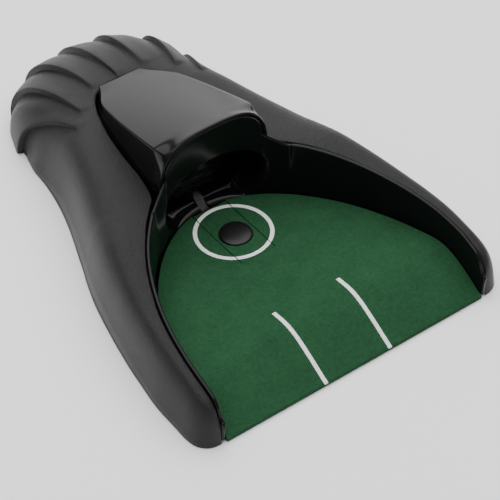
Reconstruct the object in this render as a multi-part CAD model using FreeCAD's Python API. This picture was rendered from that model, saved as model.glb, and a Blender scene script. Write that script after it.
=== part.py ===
"""Electric ball-return putting cup, in millimetres.

+X is to the player's right, +Y runs from the open front to the fluted rear, +Z is up.
The origin is at the middle of the footprint, on the floor.
Stations along the length are measured from the front edge; FRONT turns them into row Y.
"""
import FreeCAD
import Part

import math
import os

V = FreeCAD.Vector

# ---- driving dimensions -----------------------------------------------------------------------
LENGTH = 320.0            # front edge of the ramp to the rear of the housing
HOOD_TOP = 86.0           # floor to the top of the hood
FRONT = -LENGTH / 2       # row Y of station 0
RIM_Z = 0.8               # underside of the housing rim and of the base plate
BASE_T = 2.0              # base plate thickness
BASE_TOP = RIM_Z + BASE_T
WALL = 2.4                # housing wall
WELL_WALL = 2.4           # wall of the ball well
GAP = 0.3                 # clearance between separate mouldings

GREEN_HALF = 93.5         # half width of the green
GREEN_STRAIGHT = 15.0     # station where the green stops being parallel
GREEN_DEPTH = 137.8       # from there to its rearmost point
GREEN_POWER = 1.9         # exponent of its rounded outline
TURF_T = 1.4
DECK_T = 2.0

HOOD_FRONT = 141.6        # station of the lip at its feet
HOOD_REAR = 244.4
HOOD_HALF = 39.4
HOOD_FOOT_Z = 47.0
LIP_LEAN = 0.06           # the lip leans back as it rises
HOOD_WALL = 2.0
LIP_POWER = 2.7           # exponent of the lip's arch

FLAP_HALF = 12.2          # half width of the flap strip
SLIT = 0.3                # width of the slit beside it
FLAP_FRONT = 98.0
FLAP_REAR = 150.5
FLAP_T = 1.5
FLAP_PIN_S = 99.2         # hinge pin station and height
FLAP_PIN_Z = 7.4
FLAP_PIN_R = 1.0

RING_S = 123.8            # target ring
RING_R = 23.5
LINE_W = 2.6
LINE_T = 0.15             # thickness of printed ink, kept thick enough to be a solid
GUIDE_X = 23.4
GUIDE_END = 51.5

DOME_S = 121.5            # ball sensor
DOME_R = 10.2
DOME_TRAVEL = 0.5

PIVOT_S = 171.0           # lift lever pivot
PIVOT_Z = 13.0
PIVOT_R = 1.5
LEVER_HALF = 3.0
LEVER_TIP_S = 143.0
CLEVIS_S = 168.0          # pin that the solenoid plunger pulls
CLEVIS_Z = 26.7
CLEVIS_R = 1.2
PLUNGER_R = 4.5
COIL_FRONT = 205.0
COIL_REAR = 241.0
COIL_HALF = 13.0

CELL_R = 7.25             # AA cells, side by side along Y, each lying along X
CELL_L = 50.5
CELL_PITCH = 14.9
CELL_COUNT = 4
BAY_S = 274.5             # middle of the battery bay
BAY_HALF_X = 31.0
BAY_HALF_Y = 30.4

RUN_FIT = 0.05            # radial clearance of a running fit

# Lines plan of the right half of the housing, from the arm's tip round to the rear centre.
# Each row is one station: rim x and s, crest x, s and z, how far the wall leans in, and the
# exponent of its rounded shoulder, which is tight beside the hood and full at the rear.
LINES = [
    (96.4, 1.2, 96.4, 4.0, 18.0, 0.5, 2.5),
    (100.5, 1.5, 96.4, 6.0, 24.0, 1.5, 2.6),
    (105.0, 3.4, 96.4, 8.5, 27.5, 2.5, 2.8),
    (109.0, 8.0, 96.4, 12.0, 30.0, 4.0, 3.0),
    (110.8, 15.0, 96.4, 17.0, 32.0, 4.5, 3.2),
    (111.0, 25.0, 96.3, 26.0, 34.5, 5.0, 3.4),
    (111.0, 45.0, 94.6, 45.0, 37.8, 5.5, 3.6),
    (109.0, 63.0, 91.4, 62.0, 39.5, 5.5, 4.0),
    (106.8, 80.0, 86.4, 79.0, 41.0, 6.0, 4.3),
    (102.2, 105.0, 75.6, 104.0, 44.0, 6.5, 4.8),
    (96.5, 130.0, 61.2, 125.8, 47.4, 7.0, 5.0),
    (90.8, 148.0, 49.8, 138.8, 48.2, 7.0, 5.0),
    (87.0, 158.0, 43.4, 146.0, 48.4, 7.0, 5.0),
    (81.6, 173.0, 39.5, 162.0, 48.8, 7.0, 5.0),
    (74.6, 193.0, 37.5, 184.0, 49.2, 7.0, 5.0),
    (68.8, 214.0, 34.6, 205.0, 49.4, 7.0, 4.8),
    (65.2, 236.0, 29.8, 225.0, 49.5, 6.5, 3.4),
    (64.4, 256.0, 25.8, 236.0, 49.5, 4.5, 2.7),
    (61.4, 279.0, 22.6, 243.4, 49.5, 2.5, 2.5),
    (51.5, 299.5, 14.0, 245.6, 49.5, 1.0, 2.3),
    (29.0, 315.6, 7.0, 245.6, 49.5, 0.0, 2.3),
    (0.0, 320.0, 0.0, 245.6, 49.5, 0.0, 2.3),
]
BOSS_R = 3.4
SKIN_STEPS = 10           # points across one section
STEPS_PER_STATION = 3

# Height of the turf's top along the green, as (station, z).
TURF_LINE = [
    (0.0, 2.4), (6.0, 5.4), (12.0, 8.8), (18.5, 12.0), (24.5, 15.0), (32.0, 17.9),
    (39.0, 19.1), (51.5, 17.4), (80.0, 14.5), (107.0, 12.5), (124.0, 11.4), (156.0, 10.4),
]


# ---- helpers ----------------------------------------------------------------------------------
def at(x, s, z):
    """Point from a half-breadth, a station from the front edge and a height."""
    return V(x, s + FRONT, z)


def box(x0, x1, s0, s1, z0, z1):
    return Part.makeBox(x1 - x0, s1 - s0, z1 - z0, at(x0, s0, z0))


def rod_x(x0, x1, s, z, r):
    return Part.makeCylinder(r, x1 - x0, at(x0, s, z), V(1, 0, 0))


def rod_y(x, s0, s1, z, r):
    return Part.makeCylinder(r, s1 - s0, at(x, s0, z), V(0, 1, 0))


def rod_z(x, s, z0, z1, r):
    return Part.makeCylinder(r, z1 - z0, at(x, s, z0), V(0, 0, 1))


def prism(points, way):
    """Closed polygon pushed along a vector."""
    face = Part.Face(Part.makePolygon(points + [points[0]]))
    return face.extrude(way)


def joined(shapes):
    return shapes[0].fuse(shapes[1:]).removeSplitter() if len(shapes) > 1 else shapes[0]


def group(shapes):
    """Several separate solids in one node."""
    return Part.makeCompound(shapes)


def catmull(rows, t):
    """Catmull-Rom value of a list of equal-length tuples at t, counted in rows."""
    i = min(int(t), len(rows) - 2)
    f = t - i
    before = rows[max(i - 1, 0)]
    after = rows[min(i + 2, len(rows) - 1)]
    value = []
    for a, b, c, d in zip(before, rows[i], rows[i + 1], after):
        slope_in = (c - a) / 2
        slope_out = (d - b) / 2
        h = f * f * (3 - 2 * f)
        value.append(b * (1 - h) + c * h + slope_in * f * (1 - f) ** 2 - slope_out * f * f * (1 - f))
    return value


def loft_sections(sections):
    """Solid through closed sections of straight edges, joined by ruled faces."""
    wires = [Part.makePolygon(points + [points[0]]) for points in sections]
    return Part.makeLoft(wires, True, True)


def mirror_x(points):
    return [V(-p.x, p.y, p.z) for p in points]


# ---- the green --------------------------------------------------------------------------------
def green_station(x, half=GREEN_HALF, depth=GREEN_DEPTH):
    """Station of the green's outline at a half-breadth x."""
    inside = max(1.0 - abs(x / half) ** GREEN_POWER, 0.0)
    return GREEN_STRAIGHT + depth * inside ** (1 / GREEN_POWER)


def green_outline(inset, front):
    """Outline of the green, drawn in by an inset, as a closed face at z = 0."""
    half = GREEN_HALF - inset
    depth = GREEN_DEPTH - inset
    curve_points = []
    for i in range(25):
        angle = math.radians(7.5 * i)
        c = math.cos(angle)
        x = math.copysign(half * abs(c) ** (2 / GREEN_POWER), c)
        s = GREEN_STRAIGHT + depth * math.sin(angle) ** (2 / GREEN_POWER)
        curve_points.append(at(x, s, 0))
    spline = Part.BSplineCurve()
    spline.interpolate(curve_points)
    corners = [curve_points[-1], at(-half, front, 0), at(half, front, 0), curve_points[0]]
    return Part.Face(Part.Wire([spline.toShape()] + Part.makePolygon(corners).Edges))


def green_prism(inset, front, z0, z1):
    face = green_outline(inset, front)
    face.translate(V(0, 0, z0))
    return face.extrude(V(0, 0, z1 - z0))


def turf_z(s):
    """Height of the turf's top at a station."""
    for (s0, z0), (s1, z1) in zip(TURF_LINE, TURF_LINE[1:]):
        if s <= s1:
            return z0 + (z1 - z0) * (s - s0) / (s1 - s0)
    return TURF_LINE[-1][1]


def ramp_band(top, bottom, s0, s1, half):
    """Band that follows the turf's top, from `bottom` to `top` below or above it."""
    stations = [s0] + [s for s, _ in TURF_LINE if s0 < s < s1] + [s1]
    upper = [at(-half, s, turf_z(s) + top) for s in stations]
    lower = [at(-half, s, turf_z(s) + bottom) for s in reversed(stations)]
    return prism(upper + lower, V(2 * half, 0, 0))


# ---- housing ----------------------------------------------------------------------------------
def line_at(t):
    """Lines plan at t, with the first row past the centre mirrored so that the rear is smooth."""
    rim_x, rim_s, crest_x, crest_s, height, lean, power = LINES[-2]
    return catmull(LINES + [(-rim_x, rim_s, -crest_x, crest_s, height, lean, power)], t)


def skin_section(t):
    """Outer and inner points of one section of the housing, from the rim to the crest."""
    rim_x, rim_s, crest_x, crest_s, crest_z, lean, power = line_at(t)
    reach = math.hypot(crest_x - rim_x, crest_s - rim_s)
    way = V((crest_x - rim_x) / reach, (crest_s - rim_s) / reach, 0)
    lean = min(lean, reach * 0.6)
    flat = []
    for i in range(SKIN_STEPS + 1):
        angle = math.radians(90.0 * i / SKIN_STEPS)
        rise = math.sin(angle) ** (2 / power)
        run = 1 - math.cos(angle) ** (2 / power) if i < SKIN_STEPS else 1.0
        flat.append((lean * rise + (reach - lean) * run, RIM_Z + (crest_z - RIM_Z) * rise))
    inner = []
    for i, (h, z) in enumerate(flat):
        before = flat[max(i - 1, 0)]
        after = flat[min(i + 1, SKIN_STEPS)]
        length = math.hypot(after[0] - before[0], after[1] - before[1])
        inner.append((h + WALL * (after[1] - before[1]) / length,
                      z - WALL * (after[0] - before[0]) / length))
    inner[0] = (flat[0][0] + WALL, RIM_Z)
    inner[-1] = (reach, crest_z - WALL)
    thin = min(1.0, 0.55 * reach / WALL)
    inner = [(h0 + (h1 - h0) * thin, z0 + (z1 - z0) * thin)
             for (h0, z0), (h1, z1) in zip(flat, inner)]
    place = lambda h, z: at(rim_x + way.x * h, rim_s + way.y * h, z)
    return [place(*p) for p in flat], [place(*p) for p in inner]


def section_stations():
    count = (len(LINES) - 1) * STEPS_PER_STATION
    return [i / STEPS_PER_STATION for i in range(count + 1)]


def housing_skin():
    """The outer shell, lofted round from the right arm's tip to the left arm's tip."""
    half = []
    for t in section_stations():
        outer, inner = skin_section(t)
        half.append(outer + inner[::-1])
    sections = half + [mirror_x(points) for points in reversed(half[:-1])]
    return loft_sections(sections)


def boss_top(skin, x, s):
    """Height at which a boss ends inside the housing wall, all round its edge."""
    under = []
    for dx, ds in ((BOSS_R, 0), (-BOSS_R, 0), (0, BOSS_R), (0, -BOSS_R)):
        probe = Part.makeLine(at(x + dx, s + ds, BASE_TOP + 6), at(x + dx, s + ds, HOOD_TOP))
        under.append(skin.common(probe).BoundBox.ZMin)
    return min(under) + WALL / 2


def boss_places():
    half = [(101.5, 30.0), (91.5, 96.0), (62.0, 172.0), (46.0, 236.0)]
    return [(side * x, s) for x, s in half for side in (-1, 1)]


def housing_shell():
    skin = housing_skin()
    bosses = []
    for x, s in boss_places():
        boss = rod_z(x, s, BASE_TOP, boss_top(skin, x, s), BOSS_R)
        bosses.append(boss.cut(rod_z(x, s, BASE_TOP, BASE_TOP + 12, 1.5)))
    return skin.fuse(bosses).removeSplitter()


# ---- hood -------------------------------------------------------------------------------------
def hood_half(s):
    """Half width of the hood at its foot."""
    return catmull([(HOOD_HALF,), (39.0,), (37.2,), (34.4,), (29.4,), (20.6,)],
                   5.0 * (s - HOOD_FRONT) / (HOOD_REAR - HOOD_FRONT))[0]


def hood_section(f, inset):
    """Arch of the hood at a fraction of its length, with its feet below the housing's edge."""
    s = HOOD_FRONT + f * (HOOD_REAR - HOOD_FRONT)
    half = hood_half(s) - inset
    rise = (HOOD_TOP - HOOD_FOOT_Z) * (1 - f) + 2.6 * f - inset
    power = LIP_POWER + 1.6 * min(2 * f, 1.0)
    points = []
    for i in range(21):
        angle = math.radians(9.0 * i)
        c = math.cos(angle)
        x = math.copysign(half * abs(c) ** (2 / power), c)
        z = HOOD_FOOT_Z + rise * math.sin(angle) ** (2 / power)
        points.append(at(x, s + LIP_LEAN * (z - HOOD_FOOT_Z) * (1 - f), z))
    return points


def hood_cover():
    """Gloss wedge, highest at the lip, that runs down to the housing at the rear."""
    fractions = [i / 14 for i in range(15)]
    sections = []
    for f in fractions:
        outer = hood_section(f, 0)
        inner = hood_section(f, HOOD_WALL * (1 - 0.3 * f))
        sections.append(outer + inner[::-1])
    return loft_sections(sections)


# ---- ball well --------------------------------------------------------------------------------
def crest_z(s):
    """Height of the well's wall beside the green."""
    for row in zip(LINES, LINES[1:]):
        s0, z0 = row[0][3:5]
        s1, z1 = row[1][3:5]
        if s <= s1:
            return z0 + (z1 - z0) * (s - s0) / (s1 - s0)
    return LINES[-1][4]


def well_section(foot, crest, out):
    """Thin wall from the floor plate to the crest, thickened away from the green."""
    side = V(out.x, out.y, 0) * WELL_WALL
    low = V(foot.x, foot.y, BASE_TOP)
    return [low, crest, crest + side, low + side]


def well_half():
    """Sections of the well's wall, from the arm's tip to the middle of the pocket."""
    sections = []
    for s in (1.2, 4.0, 8.0, 12.0, 15.0):
        foot = at(GREEN_HALF, s, 0)
        height = 16.0 if s < 2 else crest_z(s)
        sections.append(well_section(foot, at(GREEN_HALF + 0.1, s, height), V(1, 0, 0)))
    for i in range(1, 24):
        angle = math.radians(2.6 * i)
        x = GREEN_HALF * math.cos(angle) ** (2 / GREEN_POWER)
        s = GREEN_STRAIGHT + GREEN_DEPTH * math.sin(angle) ** (2 / GREEN_POWER)
        if x < HOOD_HALF + 2:
            break
        out = V(math.cos(angle), math.sin(angle) * GREEN_HALF / GREEN_DEPTH, 0).normalize()
        draft = min(3.0, 0.03 * (s - GREEN_STRAIGHT))
        sections.append(well_section(at(x, s, 0), at(x, s, crest_z(s)) + out * draft, out))
    lip_half = HOOD_HALF - HOOD_WALL - 1.9
    lip_rise = HOOD_TOP - HOOD_FOOT_Z - HOOD_WALL - 1.0
    for i in range(19):
        angle = math.radians(5.0 * i)
        x = lip_half * math.cos(angle) ** (2 / LIP_POWER)
        z = HOOD_FOOT_Z + lip_rise * math.sin(angle) ** (2 / LIP_POWER)
        foot_x = x + 1.0 * math.cos(angle)
        lip_s = HOOD_FRONT + LIP_LEAN * (z - HOOD_FOOT_Z)
        out = V(0.35 * math.cos(angle), 1, 0).normalize()
        sections.append(well_section(at(foot_x, green_station(foot_x) + 0.35, 0), at(x, lip_s, z), out))
    return sections


def recess_prism(grow, s0, s1):
    """Arched recess behind the pocket: narrow at the floor, widest at the middle, round on top."""
    low, mid, top = 10.0 - grow, 36.0, 53.0 + grow
    half_low, half_mid = 20.0 + grow, 37.0 + grow
    floor = Part.makeLine(at(-half_low, s0, low), at(half_low, s0, low))
    right = Part.Arc(at(half_low, s0, low), at(half_mid - 3.0, s0, 22.0), at(half_mid, s0, mid)).toShape()
    arch = Part.Arc(at(half_mid, s0, mid), at(0, s0, top), at(-half_mid, s0, mid)).toShape()
    left = Part.Arc(at(-half_mid, s0, mid), at(3.0 - half_mid, s0, 22.0), at(-half_low, s0, low)).toShape()
    return Part.Face(Part.Wire([floor, right, arch, left])).extrude(V(0, s1 - s0, 0))


def ball_well():
    """Inner wall round the green with the recess that stops the ball."""
    half = well_half()
    sections = half + [mirror_x(points) for points in reversed(half[:-1])]
    wall = loft_sections(sections).cut(recess_prism(0, 130, 161))
    cup = recess_prism(2.0, 137.5, 163).cut(recess_prism(0, 130, 161))
    cup = cup.cut(green_prism(-0.8, 0, 0, 90))
    lever_slot = box(-LEVER_HALF - 0.8, LEVER_HALF + 0.8, 140, 170, 0, 19.5)
    wire_notch = box(10.5, 20.5, 140, 165, 0, 5.2)
    return wall.fuse(cup).cut(lever_slot).cut(wire_notch).removeSplitter()


# ---- ramp and turf ----------------------------------------------------------------------------
def flap_window(side_gap, s0, s1):
    half = FLAP_HALF + side_gap
    return box(-half, half, s0, s1, 0, 30)


def ramp_deck():
    """Moulded ramp: a plate that follows the turf, side skirts and two hinge lugs."""
    plate = ramp_band(-TURF_T, -TURF_T - DECK_T, 0.6, 156, 100)
    plate = plate.common(box(-100, 100, 0, 160, RIM_Z, 30))
    plate = plate.common(green_prism(GAP + 0.2, 0.6, 0, 30))
    legs = [box(x - 1, x + 1, s0, s1, BASE_TOP, 14) for x, s0, s1 in ((-60, 20, 90), (60, 20, 90), (0, 20, 80))]
    under = ramp_band(-TURF_T - DECK_T / 2, -30, 0.6, 156, 100)
    legs = [leg.common(under) for leg in legs]
    lugs = [box(x - 1.5, x + 1.5, FLAP_PIN_S - 2.6, FLAP_PIN_S + 2.6, FLAP_PIN_Z - 2.4, 11) for x in (-16, 16)]
    deck = joined([plate] + legs + lugs)
    deck = deck.cut(flap_window(1.0, FLAP_FRONT - 2, 160))
    return deck.cut(rod_x(-20, 20, FLAP_PIN_S, FLAP_PIN_Z, FLAP_PIN_R))


def turf_sheet(inset):
    sheet = ramp_band(0, -TURF_T, 0.3, 156, 100)
    return sheet.common(green_prism(inset, 0.3, 0, 30))


def putting_turf():
    return turf_sheet(GAP + 0.3).cut(flap_window(SLIT, FLAP_FRONT, 160))


def flap_strip(top, bottom, side_gap, s0):
    band = ramp_band(top, bottom, s0, FLAP_REAR, FLAP_HALF - side_gap)
    return band.common(green_prism(1.6, 0, 0, 30))


def flap_turf():
    strip = flap_strip(0, -TURF_T, 0, FLAP_FRONT + 2.2)
    return strip.cut(rod_z(0, DOME_S, 0, 30, DOME_R + 0.4))


def kick_flap():
    """Plate under the turf strip, with a hinge barrel at its front edge."""
    plate = flap_strip(-TURF_T, -TURF_T - FLAP_T, 0, FLAP_FRONT + 2.2)
    z = FLAP_PIN_Z
    barrel = rod_x(-FLAP_HALF, FLAP_HALF, FLAP_PIN_S, z, 2.2)
    web = box(-FLAP_HALF, FLAP_HALF, FLAP_PIN_S + 1.0, FLAP_PIN_S + 4, z - 1.0, turf_z(101) - TURF_T - 0.5)
    ribs = [box(x - 0.6, x + 0.6, 106, 138, 6.6, 9.5) for x in (-9.5, 9.5)]
    body = joined([plate, barrel, web] + ribs)
    body = body.cut(rod_x(-20, 20, FLAP_PIN_S, z, FLAP_PIN_R + RUN_FIT))
    return body.cut(rod_z(0, DOME_S, 0, 30, 3.3))


def ring_band():
    outer = rod_z(0, RING_S, 0, 30, RING_R + LINE_W / 2)
    return outer.cut(rod_z(0, RING_S, 0, 30, RING_R - LINE_W / 2))


def ink(outline, s0, s1):
    """A thin layer of ink on the turf, inside an outline."""
    return ramp_band(LINE_T, 0, s0, s1, 60).common(outline)


def target_ring():
    return ink(ring_band(), 95, 152).cut(flap_window(SLIT, FLAP_FRONT, 160))


def flap_ring():
    return ink(ring_band(), FLAP_FRONT + 2.2, FLAP_REAR).common(flap_window(0, FLAP_FRONT, 160))


def guide_lines():
    half = LINE_W / 2
    strips = [box(side * GUIDE_X - half, side * GUIDE_X + half, 0, 60, 0, 30) for side in (-1, 1)]
    return group([ink(strip, 0.3, GUIDE_END) for strip in strips])


def flap_hinge_pin():
    return rod_x(-17.4, 17.4, FLAP_PIN_S, FLAP_PIN_Z, FLAP_PIN_R)


# ---- ball sensor ------------------------------------------------------------------------------
def dome_seat_z():
    """Underside of the dome at rest: clear of the sloping flap by its travel."""
    return turf_z(DOME_S - DOME_R) - TURF_T + DOME_TRAVEL + 0.15


def dome_button():
    """Low black dome with a stem through the flap."""
    seat = dome_seat_z()
    height = 2.7
    radius = (DOME_R ** 2 + height ** 2) / (2 * height)
    ball = Part.makeSphere(radius, at(0, DOME_S, seat + height - radius))
    cap = ball.common(rod_z(0, DOME_S, seat, seat + height + 1, DOME_R))
    stem = rod_z(0, DOME_S, 6.4, seat + 0.5, 3.0)
    return joined([cap, stem]).cut(rod_z(0, DOME_S, 7.0, 7.6, 3.3).cut(rod_z(0, DOME_S, 7.0, 7.6, 2.5)))


def dome_clip():
    """Push-on washer in the stem's groove, under the flap."""
    return rod_z(0, DOME_S, 7.0, 7.6, 4.6).cut(rod_z(0, DOME_S, 7.0, 7.6, 2.5))


def sensor_board():
    return box(-14, 14, 112, 131, BASE_TOP, BASE_TOP + 1.0)


def sensor_switch():
    low = BASE_TOP + 1.0
    body = box(-3, 3, DOME_S - 3, DOME_S + 3, low, low + 1.8)
    return body.cut(rod_z(0, DOME_S, low + 0.5, low + 3, 1.75))


def sensor_stem():
    return rod_z(0, DOME_S, BASE_TOP + 2.2, 6.4, 1.7)


# ---- kick mechanism ---------------------------------------------------------------------------
def lift_lever():
    """Bell crank: a front arm under the flap, a top arm to the plunger, a rear arm on the spring."""
    tip = LEVER_TIP_S
    front = [at(-LEVER_HALF, s, z) for s, z in (
        (tip, 3.7), (153, 3.7), (160, 5.2), (PIVOT_S, 9.6), (PIVOT_S, 16.2), (162, 12.0), (154, 6.9), (tip, 6.9))]
    arms = [prism(front, V(2 * LEVER_HALF, 0, 0))]
    arms.append(rod_x(-LEVER_HALF, LEVER_HALF, tip, 5.3, 1.6))
    arms.append(rod_x(-LEVER_HALF, LEVER_HALF, PIVOT_S, PIVOT_Z, 4.2))
    upper = [at(-LEVER_HALF, s, z) for s, z in (
        (PIVOT_S - 3.6, PIVOT_Z), (PIVOT_S + 3.6, PIVOT_Z), (CLEVIS_S + 3, CLEVIS_Z), (CLEVIS_S - 3, CLEVIS_Z))]
    arms.append(prism(upper, V(2 * LEVER_HALF, 0, 0)))
    arms.append(rod_x(-LEVER_HALF, LEVER_HALF, CLEVIS_S, CLEVIS_Z, 3.0))
    arms.append(box(-LEVER_HALF, LEVER_HALF, PIVOT_S, PIVOT_S + 13, PIVOT_Z - 1.6, PIVOT_Z + 1.6))
    lever = joined(arms)
    lever = lever.cut(rod_x(-20, 20, PIVOT_S, PIVOT_Z, PIVOT_R + RUN_FIT))
    return lever.cut(rod_x(-20, 20, CLEVIS_S, CLEVIS_Z, CLEVIS_R))


def clevis_pin():
    return rod_x(-7.0, 7.0, CLEVIS_S, CLEVIS_Z, CLEVIS_R)


def lever_pin():
    return rod_x(-9.4, 9.4, PIVOT_S, PIVOT_Z, PIVOT_R)


def lever_bracket():
    """Foot plate with two cheeks that carry the pivot, and a peg for the spring."""
    foot = box(-17, 17, 164, 188, BASE_TOP, BASE_TOP + 1.2)
    cheeks = [box(min(x, x + t), max(x, x + t), 166, 176, BASE_TOP, 17.4) for x, t in ((4.2, 2.5), (-4.2, -2.5))]
    peg = rod_z(0, PIVOT_S + 10.5, BASE_TOP, BASE_TOP + 3, 1.8)
    bracket = joined([foot, peg] + cheeks)
    bracket = bracket.cut(rod_x(-20, 20, PIVOT_S, PIVOT_Z, PIVOT_R))
    return bracket.cut(group([rod_z(x, 181, 0, 6, 1.5) for x in (-13, 13)]))


def coil_spring(x, s, z0, z1, radius, wire, turns):
    """Round-wire helix between two heights."""
    helix = Part.makeHelix((z1 - z0 - 2 * wire) / turns, z1 - z0 - 2 * wire, radius)
    start = V(radius, 0, 0)
    circle = Part.Wire(Part.makeCircle(wire, start, V(0, 1, 0)))
    spring = Part.Wire(helix.Edges).makePipeShell([circle], True, True)
    spring.translate(at(x, s, z0 + wire))
    return spring


def lever_spring():
    return coil_spring(0, PIVOT_S + 10.5, BASE_TOP + 1.25, PIVOT_Z - 1.65, 2.6, 0.3, 5)


def solenoid_plunger():
    """Soft-iron rod with a forked head; the fork's holes are tall, so the pin can rise and fall."""
    rod = rod_y(0, 178, 226, CLEVIS_Z, PLUNGER_R)
    head = box(-7.6, 7.6, 164.0, 180, CLEVIS_Z - 5, CLEVIS_Z + 5)
    slot = box(-LEVER_HALF - 0.4, LEVER_HALF + 0.4, 160, 176.5, CLEVIS_Z - 8, CLEVIS_Z + 8)
    hole = box(-9, 9, CLEVIS_S - CLEVIS_R - 0.35, CLEVIS_S + CLEVIS_R + 0.35, CLEVIS_Z - 2.2, CLEVIS_Z + 2.2)
    return joined([rod, head]).cut(slot).cut(hole)


def solenoid_frame():
    """Steel box frame, open at its sides, with a hole for the plunger and a stop at the rear."""
    low, high = CLEVIS_Z - COIL_HALF, CLEVIS_Z + COIL_HALF
    outer = box(-COIL_HALF, COIL_HALF, COIL_FRONT, COIL_REAR, low, high)
    inner = box(-COIL_HALF - 1, COIL_HALF + 1, COIL_FRONT + 2, COIL_REAR - 2, low + 2, high - 2)
    stop = rod_y(0, COIL_REAR - 8, COIL_REAR, CLEVIS_Z, PLUNGER_R - 0.4)
    frame = joined([outer.cut(inner), stop])
    return frame.cut(rod_y(0, COIL_FRONT - 1, COIL_FRONT + 3, CLEVIS_Z, PLUNGER_R + 0.6))


def solenoid_bobbin():
    s0, s1 = COIL_FRONT + 2, COIL_REAR - 2
    tube = rod_y(0, s0, s1, CLEVIS_Z, 6.2)
    ends = [rod_y(0, s, s + 1.5, CLEVIS_Z, 10.8) for s in (s0, s1 - 1.5)]
    return joined([tube] + ends).cut(rod_y(0, s0 - 1, s1 + 1, CLEVIS_Z, PLUNGER_R + RUN_FIT))


def solenoid_coil():
    s0, s1 = COIL_FRONT + 3.5, COIL_REAR - 3.5
    winding = joined([rod_y(0, s0, s1, CLEVIS_Z, 10.2), box(6, COIL_HALF + 0.2, 211, 219, 20.4, 23.6)])
    return winding.cut(rod_y(0, s0, s1, CLEVIS_Z, 6.2))


def solenoid_bracket():
    """Folded plate that lifts the solenoid to the lever's height."""
    low = CLEVIS_Z - COIL_HALF
    top = box(-COIL_HALF, COIL_HALF, COIL_FRONT, COIL_REAR, low - 1.5, low)
    legs = [box(-COIL_HALF, COIL_HALF, s, s + 1.5, BASE_TOP, low) for s in (COIL_FRONT, COIL_REAR - 1.5)]
    feet = [box(-COIL_HALF, COIL_HALF, s0, s1, BASE_TOP, BASE_TOP + 1.5)
            for s0, s1 in ((COIL_FRONT - 8, COIL_FRONT + 1.5),)]
    plate = joined([top] + legs + feet)
    return plate.cut(group([rod_z(x, COIL_FRONT - 4, 0, 6, 1.5) for x in (-8, 8)]))


def pan_screw(x, s, z, shank, length, head_r, head_h):
    """Screw pointing down, head underside at z."""
    head = rod_z(x, s, z, z + head_h, head_r)
    slot = box(x - head_r, x + head_r, s - 0.35, s + 0.35, z + head_h * 0.5, z + head_h + 1)
    return head.cut(slot).fuse(rod_z(x, s, z - length, z, shank))


def mechanism_places():
    return [(-13, 181, 1.2), (13, 181, 1.2), (-8, COIL_FRONT - 4, 1.5), (8, COIL_FRONT - 4, 1.5)]


def mechanism_screws():
    return group([pan_screw(x, s, BASE_TOP + t, 1.4, t + 1.6, 2.6, 1.6) for x, s, t in mechanism_places()])


# ---- electrics --------------------------------------------------------------------------------
BOARD = (20.0, 50.0, 176.0, 222.0)
BOARD_Z = 6.8
HEADER_X = (30.2, 35.0, 39.8)


def control_board():
    x0, x1, s0, s1 = BOARD
    board = box(x0, x1, s0, s1, BOARD_Z, BOARD_Z + 1.6)
    return board.cut(group([rod_z(x, s, 0, 20, 1.5) for x, s in board_holes()]))


def board_holes():
    x0, x1, s0, s1 = BOARD
    return [(x, s) for x in (x0 + 3.5, x1 - 3.5) for s in (s0 + 3.5, s1 - 3.5)]


def board_screws():
    return group([pan_screw(x, s, BOARD_Z + 1.6, 1.4, 5.0, 2.6, 1.6) for x, s in board_holes()])


def storage_capacitors():
    cans = []
    for s in (192.0, 205.0):
        can = rod_z(27, s, BOARD_Z + 1.6, BOARD_Z + 22, 5.0)
        rim = can.Edges[0]
        cans.append(can.makeFillet(0.8, [rim]))
    return group(cans)


def driver_transistor():
    z = BOARD_Z + 1.6
    body = box(42, 49.6, 194, 198.6, z + 3, z + 18)
    legs = [box(x - 0.4, x + 0.4, 195.8, 196.6, z, z + 4) for x in (43.3, 45.8, 48.3)]
    return joined([body] + legs).cut(rod_y(45.8, 190, 200, z + 14.5, 1.6))


def wire_header():
    z = BOARD_Z + 1.6
    shell = box(27, 43, 179, 185, z, z + 6)
    pockets = [box(x - 2, x + 2, 180.2, 186, z + 1.2, z + 5) for x in HEADER_X]
    return shell.cut(group(pockets))


def power_switch():
    """Slide switch body over the window in the base plate."""
    body = box(-46, -26, 196, 206, BASE_TOP, BASE_TOP + 5.5)
    return body.cut(box(-42.2, -29.8, 198.9, 203.1, BASE_TOP - 1, BASE_TOP + 2.6))


def switch_knob():
    slide = box(-42.0, -36.2, 199.1, 202.9, BASE_TOP + 0.2, BASE_TOP + 2.4)
    thumb = box(-40.6, -37.6, 199.6, 202.4, RIM_Z + 0.2, BASE_TOP + 1)
    grips = [box(x, x + 0.5, 199, 203, RIM_Z, RIM_Z + 0.5) for x in (-40.0, -39.1, -38.3)]
    return joined([slide, thumb]).cut(group(grips))


def battery_tray():
    """Box for the cells, open at the bottom, with a half-round seat over each cell."""
    x, y = BAY_HALF_X, BAY_HALF_Y
    top = BASE_TOP + 2 * CELL_R + 2.6
    shell = box(-x - 1.6, x + 1.6, BAY_S - y - 1.6, BAY_S + y + 1.6, BASE_TOP, top)
    hollow = box(-x, x, BAY_S - y, BAY_S + y, 0, BASE_TOP + CELL_R + 1.0)
    seats = [rod_x(-x, x, s, cell_z(), CELL_R + 0.25) for s in cell_stations()]
    return shell.cut(group([hollow])).cut(joined(seats))


def cell_z():
    return BASE_TOP + CELL_R + 0.3


def cell_stations():
    first = BAY_S - CELL_PITCH * (CELL_COUNT - 1) / 2
    return [first + CELL_PITCH * i for i in range(CELL_COUNT)]


def battery_cells():
    """AA cells laid head to tail, each with its positive nub."""
    cells = []
    for i, s in enumerate(cell_stations()):
        side = 1 if i % 2 == 0 else -1
        x0 = -CELL_L / 2 - side * 1.2
        body = rod_x(x0, x0 + CELL_L - 1.2, s, cell_z(), CELL_R)
        nub_x = x0 + CELL_L - 1.2 if side > 0 else x0 - 1.2
        cells.append(body.fuse(rod_x(nub_x, nub_x + 1.2, s, cell_z(), 2.75)))
    return group(cells)


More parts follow.
